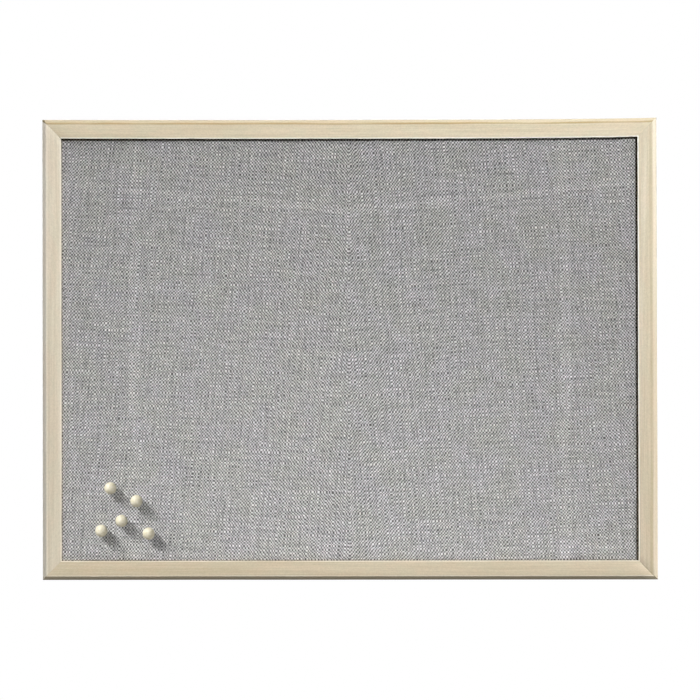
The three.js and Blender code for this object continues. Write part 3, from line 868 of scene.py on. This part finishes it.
# Fabric cover
FABRIC_THICKNESS = 0.6 * MM
HEM_WIDTH = 20 * MM
FOLD_RADIUS = 1.2 * MM
FOLD_LENGTH = FOLD_RADIUS * math.pi / 2
COVER_DEPTH = cover_high.y - cover_low.y
COVER_SIDE = COVER_DEPTH - 2 * FOLD_RADIUS  # the straight part between the two folds
GRID_STEP = 6 * MM
LEAST_STEP = 0.05 * MM
NEEDLE_HOLE = 0.55 * MM
PUCKER_RADIUS = 1.6 * MM
PUCKER_DEPTH = 0.35 * MM
PUCKER_LINES = [away * MM for away in (0.35, 0.6, 1.0, 1.6, 2.4, 3.6)]  # of the finer mesh round a needle
BILLOW = 0.12 * MM
BILLOW_WAVES = (19, 23)  # radians per metre across and upwards
BILLOW_START = (1.3, 0.4)

# Stretches of the cut beyond its flat front, each with the steps that it is laid in
FOLDS = ((FOLD_LENGTH, 3), (COVER_SIDE, 2), (FOLD_LENGTH, 3), (HEM_WIDTH - FOLD_RADIUS, 1))


def pin_middle(number):
    low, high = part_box(f"pin_needle_{number}")
    return (low + high) / 2


def grid_lines(half, middles):
    """Lines across the flat cut: even ones, the folds, and finer ones round each needle."""
    flat = half - FOLD_RADIUS
    count = round(2 * flat / GRID_STEP)
    lines = {-flat + 2 * flat * i / count for i in range(count + 1)}
    start = flat
    for length, steps in FOLDS:
        for i in range(1, steps + 1):
            lines |= {start + length * i / steps, -start - length * i / steps}
        start += length
    for middle in middles:
        lines = {line for line in lines if abs(line - middle) > PUCKER_LINES[-1] or abs(line) >= flat}
    for middle in middles:
        lines |= {middle + way * away for away in PUCKER_LINES for way in (1, -1)}
    ordered = sorted(lines)
    return ordered[:1] + [b for a, b in zip(ordered, ordered[1:]) if b - a > LEAST_STEP]


def fold_over(place, half):
    """Where a point of the flat cut comes to lie: its place across the panel, and how far behind the front
    it is."""
    flat = half - FOLD_RADIUS
    sign = math.copysign(1, place)
    past = abs(place) - flat
    if past <= 0:
        return place, 0.0
    if past <= FOLD_LENGTH:
        angle = past / FOLD_RADIUS
        return sign * (flat + FOLD_RADIUS * math.sin(angle)), FOLD_RADIUS * (1 - math.cos(angle))
    past -= FOLD_LENGTH
    if past <= COVER_SIDE:
        return sign * half, FOLD_RADIUS + past
    past -= COVER_SIDE
    if past <= FOLD_LENGTH:
        angle = past / FOLD_RADIUS
        behind = COVER_DEPTH - FOLD_RADIUS * (1 - math.sin(angle))
        return sign * (flat + FOLD_RADIUS * math.cos(angle)), behind
    return sign * (flat + FOLD_LENGTH - past), COVER_DEPTH


def dent(x, z, pins):
    """How far the stretched cloth lies behind its plane: a slow billow, and a pucker at each needle."""
    across, upward = (
        math.sin(waves * place + start) for waves, place, start in zip(BILLOW_WAVES, (x, z), BILLOW_START)
    )
    depth = BILLOW * (0.5 + 0.5 * across * upward)
    for pin in pins:
        away = math.hypot(x - pin.x, z - pin.z)
        depth += PUCKER_DEPTH * math.exp(-((away / PUCKER_RADIUS) ** 2))
    return depth


def cloth_place(u, v, pins):
    """Where a point of the flat cut lies in the finished cover."""
    x, x_depth = fold_over(u, cover_high.x)
    z, z_depth = fold_over(v, cover_high.z)
    depth = max(x_depth, z_depth)
    if depth == 0:
        depth = dent(x, z, pins)
    return (x, FABRIC_FRONT + depth, z)


def is_cut_out(u, v, pins):
    """Whether a point of the flat cut lies in one of its missing corners or in the hole of a needle."""
    in_corner = abs(u) > cover_high.x - FOLD_RADIUS and abs(v) > cover_high.z - FOLD_RADIUS
    return in_corner or any(math.hypot(u - pin.x, v - pin.z) < NEEDLE_HOLE for pin in pins)


def lay_cloth(across, upward, pins):
    """Mesh of the cloth over the panel. Its UV map is the flat cut, in metres."""
    work = bmesh.new()
    cut_map = work.loops.layers.uv.new("cut")
    rows = [[work.verts.new(cloth_place(u, v, pins)) for u in across] for v in upward]
    for j in range(len(upward) - 1):
        for i in range(len(across) - 1):
            if is_cut_out((across[i] + across[i + 1]) / 2, (upward[j] + upward[j + 1]) / 2, pins):
                continue
            corners = ((i, j), (i + 1, j), (i + 1, j + 1), (i, j + 1))
            face = work.faces.new([rows[row][column] for column, row in corners])
            face.smooth = True
            for loop, (column, row) in zip(face.loops, corners):
                loop[cut_map].uv = (across[column], upward[row])
    bmesh.ops.delete(work, geom=[v for v in work.verts if not v.link_faces], context="VERTS")
    mesh = mesh_of(work, "woven_cover")
    mesh.materials.append(woven_cloth())
    return mesh


def build_cover():
    pins = [pin_middle(number) for number in PINS]
    across = grid_lines(cover_high.x, [pin.x for pin in pins])
    upward = grid_lines(cover_high.z, [pin.z for pin in pins])
    piece = new_object("woven_cover", lay_cloth(across, upward, pins))
    thicken(piece, "cloth thickness", FABRIC_THICKNESS, -1)
    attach(piece, "board")
    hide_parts("fabric_cover")
    return piece


# Pins
BALL_SIDES = 48
BALL_RINGS = 32
NECK_FLAT = 0.9 * MM  # radius of the flat that is left round the needle
NEEDLE_SIDES = 20
NEEDLE_TAPER = 2.6 * MM
TAPER_STEPS = 6
TAPER_CURVE = 0.8


def turned(name, profile, centre, sides):
    """A piece turned about the Y axis through centre; the profile gives radius and Y."""
    work = bmesh.new()
    points = [work.verts.new((radius, y, 0)) for radius, y in profile]
    edges = [work.edges.new(pair) for pair in zip(points, points[1:])]
    about = {"cent": (0, 0, 0), "axis": (0, 1, 0), "angle": 2 * math.pi}
    bmesh.ops.spin(work, geom=points + edges, steps=sides, use_merge=True, **about)
    mesh = mesh_of(work, name)
    mesh.transform(Matrix.Translation(centre))
    finish_mesh(mesh)
    return new_object(name, mesh)


def ball_profile(radius):
    """From the flat round the needle to the front of the ball."""
    start = math.asin(NECK_FLAT / radius)
    angles = [start + (math.pi - start) * i / BALL_RINGS for i in range(BALL_RINGS)]
    round_part = [(radius * math.sin(angle), radius * math.cos(angle)) for angle in angles]
    return [(0.0, radius * math.cos(start)), *round_part, (0.0, -radius)]


def needle_profile(radius, length):
    """From the end in the ball to the point."""
    profile = [(0.0, 0.0), (radius, 0.0)]
    for i in range(TAPER_STEPS + 1):
        left = 1 - i / TAPER_STEPS
        profile.append((radius * left ** TAPER_CURVE, length - NEEDLE_TAPER * left))
    return profile


def build_ball(number, wood):
    low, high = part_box(f"pin_head_{number}")
    head = turned(f"ball_{number}", ball_profile((high.x - low.x) / 2), (low + high) / 2, BALL_SIDES)
    head.data.materials.append(wood)
    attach(head, f"pin_{number}")
    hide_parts(f"pin_head_{number}")


def build_needle(number, steel):
    low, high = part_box(f"pin_needle_{number}")
    middle = (low + high) / 2
    profile = needle_profile((high.x - low.x) / 2, high.y - low.y)
    needle = turned(f"needle_{number}", profile, Vector((middle.x, low.y, middle.z)), NEEDLE_SIDES)
    needle.data.materials.append(steel)
    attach(needle, f"pin_{number}")
    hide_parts(f"pin_needle_{number}")


def build_pins():
    wood = turned_wood()
    steel = metal("needle_steel", **NEEDLE_STEEL)
    for number in PINS:
        build_ball(number, wood)
        build_needle(number, steel)


# Hangers
WIRE_DIAMETER = 1.4 * MM
WIRE_SIDES = 16
RING_DROP = 11 * MM
RING_CORNER_RADIUS = 2 * MM
RING_END_RADIUS = 2.5 * MM
RING_SIDE_ROOM = 1 * MM
RING_BEND_STEPS = 10
STRAP_SHEET = 0.6 * MM
STRAP_EDGE = 0.12 * MM
STRAP_CORNER = 2.6 * MM
STRAP_CORNER_STEPS = 8
STRAP_STEPS = 4
STRAP_WIDTHS = (-1, -0.5, 0, 0.5, 1)  # places across it, in half widths
KNUCKLE_CLEARANCE = 0.2 * MM
KNUCKLE_END = math.radians(-115)
KNUCKLE_STEPS = 24
RIVET_HEIGHT = 0.8 * MM


def joint_place(name):
    joint = next(joint for joint in frame["joints"] if joint["name"] == name)
    return Vector(joint["pos_m"])


def ring_line(corner):
    """The points where the straight lines of a ring would meet: the ends of its bar, and its tip. corner is
    how far from the middle the wire turns away from the bar."""
    across = Vector((-corner, RING_CORNER_RADIUS - RING_DROP + RING_END_RADIUS))
    turn = math.acos((RING_CORNER_RADIUS - RING_END_RADIUS) / across.length)
    normal = math.atan2(across.y, across.x) + turn
    reach = math.cos(normal) * corner - math.sin(normal) * RING_CORNER_RADIUS + RING_CORNER_RADIUS
    bar_end, tip = reach / math.cos(normal), reach / math.sin(normal)
    return polyline("ring line", [(-bar_end, 0, 0), (bar_end, 0, 0), (0, 0, tip)], closed=True)


def build_ring(side, recipe, steel):
    """Round-cornered triangle of wire."""
    plate_low, plate_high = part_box(f"hanger_plate_{side}")
    line = ring_line((plate_high.x - plate_low.x) / 2 + RING_SIDE_ROOM)
    mark(line, "bend", [RING_CORNER_RADIUS, RING_CORNER_RADIUS, RING_END_RADIUS])
    mesh = recipe.make(
        line, Wire_radius=WIRE_DIAMETER / 2, Bend_steps=RING_BEND_STEPS, Wire_sides=WIRE_SIDES, Finish=steel)
    mesh.transform(Matrix.Translation(joint_place(f"ring_{side}_swing")))
    finish_mesh(mesh)
    ring = new_object(f"ring_{side}", mesh)
    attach(ring, f"ring_{side}")
    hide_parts(f"hanger_ring_{side}")


def strap_line(half, length):
    """A strap's run from its rolled end to its rounded end: Y and Z from the hinge, and its half width."""
    radius = WIRE_DIAMETER / 2 + KNUCKLE_CLEARANCE
    straight = length - STRAP_CORNER
    line = []
    for i in range(KNUCKLE_STEPS + 1):
        angle = KNUCKLE_END + (math.pi - KNUCKLE_END) * i / KNUCKLE_STEPS
        line.append((radius * math.cos(angle), radius * math.sin(angle), half))
    for i in range(1, STRAP_STEPS + 1):
        line.append((-radius, -straight * i / STRAP_STEPS, half))
    for i in range(1, STRAP_CORNER_STEPS + 1):
        angle = math.pi / 2 * i / STRAP_CORNER_STEPS
        narrow = half - STRAP_CORNER * (1 - math.cos(angle))
        line.append((-radius, -straight - STRAP_CORNER * math.sin(angle), narrow))
    return line


def strap_mesh(name, line):
    work = bmesh.new()
    rows = [[work.verts.new((share * wide, y, z)) for share in STRAP_WIDTHS] for y, z, wide in line]
    for first, second in zip(rows, rows[1:]):
        for i in range(len(STRAP_WIDTHS) - 1):
            work.faces.new((first[i], first[i + 1], second[i + 1], second[i]))
    mesh = mesh_of(work, name)
    smooth(mesh)
    return mesh


def build_plate(side, steel):
    """A strap rolled round the ring's bar and running down the back board, with a rounded end."""
    hinge = joint_place(f"ring_{side}_swing")
    low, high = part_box(f"hanger_plate_{side}")
    mesh = strap_mesh(f"strap_{side}", strap_line((high.x - low.x) / 2, hinge.z - low.z))
    mesh.transform(Matrix.Translation(hinge))
    mesh.materials.append(steel)
    strap = new_object(f"strap_{side}", mesh)
    thicken(strap, "sheet thickness", STRAP_SHEET, 1)
    edge = strap.modifiers.new("rolled edges", "BEVEL")
    edge.width = STRAP_EDGE
    edge.segments = 2
    edge.limit_method = "ANGLE"
    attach(strap, "board")
    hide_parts(f"hanger_plate_{side}")


def build_rivets(steel):
    names = [f"hanger_rivet_{side}_{level}" for side in HANGERS for level in ("upper", "lower")]
    boxes = [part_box(name) for name in names]
    low, high = boxes[0]
    seats = [((a.x + b.x) / 2, b.y - RIVET_HEIGHT, (a.z + b.z) / 2) for a, b in boxes]
    mesh = rivet_recipe().make(
        polyline("rivet seats", seats), Head_radius=(high.x - low.x) / 2, Head_height=RIVET_HEIGHT,
        Finish=steel,
    )
    finish_mesh(mesh)
    rivets = new_object("hanger_rivets", mesh)
    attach(rivets, "board")
    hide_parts(*names)


# Fixings of the frame and of the back
POINT_TIP = 3.5 * MM
POINT_SHOULDER = 0.4 * MM  # length that a shoulder loses to its rounding
POINT_HEEL = 0.96  # of half the width, that a corner of the round end loses
POINT_STEPS = 8
V_NAIL_SHEET = 0.5 * MM
V_NAIL_SUNK = 0.02 * MM


def press(recipe, name, nodes, seats, turns, outline, thickness, steel):
    """One mesh of equal fixings, each with its back at its seat, that stands for the given nodes."""
    start = polyline(name + " seats", seats)
    mark(start, "turn", [-turn * math.pi / 2 for turn in turns])
    drawn = polyline(name + " outline", outline, closed=True)
    mesh = recipe.make(start, Outline=drawn, Thickness=thickness, Finish=steel)
    bpy.data.objects.remove(drawn)
    finish_mesh(mesh)
    piece = new_object(name, mesh)
    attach(piece, "board")
    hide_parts(*nodes)


def build_retaining_points(recipe, steel):
    names = sorted(name for name in frame["nodes"] if name.startswith("retaining_point_"))
    seats = []
    turns = []
    for name in names:
        low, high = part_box(name)
        middle = (low + high) / 2
        seats.append((middle.x, high.y, middle.z))
        turns.append(next(i for i, side in enumerate(SIDES) if side["name"] in name))
    low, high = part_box("retaining_point_bottom_rail_1")
    half_width, half_length = (high.x - low.x) / 2, (high.z - low.z) / 2
    shoulder = POINT_TIP - half_length
    outline = rounded([
        (0, -half_length, 0),
        (half_width, shoulder, POINT_SHOULDER),
        (half_width, half_length, half_width * POINT_HEEL),
        (-half_width, half_length, half_width * POINT_HEEL),
        (-half_width, shoulder, POINT_SHOULDER),
    ], POINT_STEPS)
    press(recipe, "retaining_points", names, seats, turns, outline, high.y - low.y, steel)


def build_v_nails(recipe, steel):
    names = [f"v_nail_{side['start']}" for side in SIDES]
    seats = []
    for name, side in zip(names, SIDES):
        low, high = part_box(name)
        x = low.x if side["x"] < 0 else high.x
        z = low.z if side["z"] < 0 else high.z
        seats.append((x, -V_NAIL_SUNK, z))
    low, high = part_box(names[0])
    wing = high.x - low.x
    inner = V_NAIL_SHEET
    corners = [(0, 0), (wing, 0), (wing, inner), (inner, inner), (inner, wing), (0, wing)]
    outline = [(x, z, 0) for x, z in corners]
    press(recipe, "v_nails", names, seats, range(len(SIDES)), outline, high.y - low.y, steel)


def build_back():
    zinc = metal("zinc_plated_steel", **ZINC_STEEL)
    steel = metal("bare_steel", **BARE_STEEL)
    wire = wire_recipe()
    for side in HANGERS:
        build_ring(side, wire, zinc)
        build_plate(side, zinc)
    build_rivets(zinc)
    pressed = pressed_recipe()
    build_retaining_points(pressed, steel)
    build_v_nails(pressed, steel)
    for name, look in (("back_board", hardboard()), ("pin_core", fibre_core())):
        node = frame["nodes"][name]
        node.data.materials.clear()
        node.data.materials.append(look)


# Studio
FLOOR_BELOW = 0.25
FLOOR_REACH = 1.3
FLOOR_CELLS = 12
CAMERA_PLACE = (0.067, -2.5, -0.032)
CAMERA_YAW, CAMERA_PITCH, CAMERA_ROLL = (math.radians(angle) for angle in (-1.532, 0.7226, -0.1225))
CAMERA_LENS = 196.5  # mm
SENSOR_WIDTH = 36  # mm
CAMERA_SIGHT = 20
SKY_LEVEL = 0.1

# Far lamps, each on a side of the board, with its level on a white surface that faces it and the angle that
# it spans, in degrees
FRAME_KEY = {"side": (0.08, -1, 0.73), "level": 1.05, "softness": 12}
FRAME_SIDE_LAMP = {"side": (1, -0.1, 0.15), "level": 0.6, "softness": 12}
PIN_FILL = {"side": (0.3, -1, -0.25), "level": 0.36, "softness": 20}
BACK_LAMP = {"side": (0.5, 1, 0.7), "level": 0.55, "softness": 20}
BACK_FILL = {"side": (-1, 1.3, 0.3), "level": 0.6, "softness": 20}
FLOOR_LAMP = {"side": (0.2, -0.3, 1), "level": 0.4, "softness": 30}

# Spots, each on a side of the board and aimed at a point of the board's plane
LAMP_DISTANCE = 3.5
CLOTH_SIDE = Vector((0.55, -1, 0.51)).normalized() * LAMP_DISTANCE
CLOTH_BEAM = {"aim": (2.0, 0, 1.209), "level": 0.896, "half_angle": 0.829, "blend": 0.247, "radius": 0.12}
PIN_SIDE = Vector((-1.36, -1, 1.195)).normalized() * LAMP_DISTANCE
PIN_BEAM = {"aim": (-0.046, 0, -0.344), "level": 3.746, "half_angle": 0.057, "blend": 0.6, "radius": 0.28}
PIN_SPOTS = 7
PIN_SPOT_REACH = 0.8  # of the row of spots, from its middle one
FACING = Vector((0, -1, 0))  # the way the board faces


def build_floor():
    work = bmesh.new()
    bmesh.ops.create_grid(work, x_segments=FLOOR_CELLS, y_segments=FLOOR_CELLS, size=FLOOR_REACH)
    mesh = mesh_of(work, "floor")
    mesh.transform(Matrix.Translation((0, 0, cad_low.z - FLOOR_BELOW)))
    mesh.materials.append(studio_floor())
    floor = new_object("floor", mesh)
    floor.visible_diffuse = False
    floor.visible_glossy = False
    floor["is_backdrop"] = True
    return floor


def build_camera():
    lens = bpy.data.cameras.new("camera")
    lens.sensor_width = SENSOR_WIDTH
    lens.lens = CAMERA_LENS
    lens.clip_end = CAMERA_SIGHT
    camera = new_object("camera", lens)
    camera.location = CAMERA_PLACE
    turn = Matrix.Rotation(-CAMERA_YAW, 4, "Z") @ Matrix.Rotation(math.pi / 2 + CAMERA_PITCH, 4, "X")
    camera.rotation_euler = (turn @ Matrix.Rotation(CAMERA_ROLL, 4, "Z")).to_euler()
    bpy.context.scene.camera = camera


def group(name, pieces):
    collection = bpy.data.collections.new(name)
    for piece in pieces:
        collection.objects.link(piece)
    return collection


def hang(name, light, place, towards, lit, shading):
    """Hangs a lamp. lit and shading are the pieces that it lights and that shade it, where None is all."""
    piece = new_object(name, light)
    piece.location = place
    piece.rotation_euler = towards.to_track_quat("-Z", "Y").to_euler()
    piece.visible_camera = False
    piece.light_linking.receiver_collection = lit
    piece.light_linking.blocker_collection = shading


def sun(name, side, level, softness, lit=None, shading=None):
    light = bpy.data.lights.new(name, "SUN")
    light.energy = level * math.pi
    light.angle = math.radians(softness)
    direction = Vector(side).normalized()
    hang(name, light, direction * LAMP_DISTANCE, -direction, lit, shading)


def spot(name, place, aim, level, half_angle, blend, radius, lit, shading):
    """A lamp with a soft-edged beam. level is how bright it makes white at the lamps' distance."""
    light = bpy.data.lights.new(name, "SPOT")
    light.energy = level * (2 * math.pi * LAMP_DISTANCE) ** 2
    light.spot_size = 2 * half_angle
    light.spot_blend = blend
    light.shadow_soft_size = radius
    hang(name, light, place, Vector(aim) - place, lit, shading)


def row_of_spots(name, middle, level, **beam):
    """Equal spots that share the level, from a steep to a low one, which draw the shadows out softly."""
    ahead = middle.normalized()
    steeper = (FACING - ahead * ahead.dot(FACING)).normalized()
    for number in range(PIN_SPOTS):
        share = 2 * number / (PIN_SPOTS - 1) - 1
        spot(f"{name} {number}", middle + steeper * share * PIN_SPOT_REACH, level=level / PIN_SPOTS, **beam)


class Surroundings(NodeTree):
    """The studio's world in the making."""

    def __init__(self, name):
        self.world = bpy.data.worlds.new(name)
        self.world.use_nodes = True
        self.tree = self.world.node_tree
        self.tree.nodes.clear()

    def white(self, strength):
        inputs = {"Color": (1.0, 1.0, 1.0, 1.0), "Strength": strength}
        return self.node("ShaderNodeBackground", inputs).outputs[0]


def build_world():
    """A weak white sky that lights the board, and a white backdrop for the camera and for reflections."""
    studio = Surroundings("studio")
    ray = studio.node("ShaderNodeLightPath").outputs
    seen = ray["Is Camera Ray"]
    for kind in ("Is Glossy Ray", "Is Transmission Ray"):
        seen = studio.node("ShaderNodeMath", {0: seen, 1: ray[kind]}, operation="MAXIMUM").outputs[0]
    both = studio.node("ShaderNodeMixShader", {0: seen, 1: studio.white(SKY_LEVEL), 2: studio.white(1.0)})
    studio.node("ShaderNodeOutputWorld", {"Surface": both.outputs[0]})
    bpy.context.scene.world = studio.world


def build_lamps(wood, cloth, floor):
    """The frame is lit from above and from the right, the cloth from the upper right, and the pins from the
    upper left. Towards the right the cloth's own spot takes over from the pins' spots."""
    heads = [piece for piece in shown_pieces() if piece.name.startswith(("ball_", "needle_"))]
    top_rail = next(piece for piece in wood if piece.name == "wood_top_rail")
    pins = group("pins", heads)
    others = group("all but pins and cloth", [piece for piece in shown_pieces() if piece not in (*heads, cloth)])
    sun("frame key", **FRAME_KEY, lit=others, shading=others)
    sun("frame side lamp", **FRAME_SIDE_LAMP, lit=others, shading=others)
    spot("cloth spot", CLOTH_SIDE, **CLOTH_BEAM, lit=group("cloth", [cloth]), shading=group("wood", wood))
    row_of_spots(
        "pin spot", PIN_SIDE, **PIN_BEAM, lit=group("pins and cloth", [*heads, cloth]),
        shading=group("pins and top rail", [*heads, top_rail]),
    )
    sun("pin fill", **PIN_FILL, lit=pins, shading=pins)
    sun("back lamp", **BACK_LAMP)
    sun("back fill", **BACK_FILL)
    sun("floor lamp", **FLOOR_LAMP, lit=group("floor", [floor]))


bpy.context.scene.view_settings.view_transform = "Standard"
bpy.context.scene.cycles.denoising_prefilter = "NONE"  # the prefilter wipes out part of the weave
bpy.context.scene.cycles.use_light_tree = False  # with it, lamps that light a group of pieces don't add up
sides = build_frame()
cover = build_cover()
build_pins()
build_back()
ground = build_floor()
build_camera()
build_world()
build_lamps(sides, cover, ground)
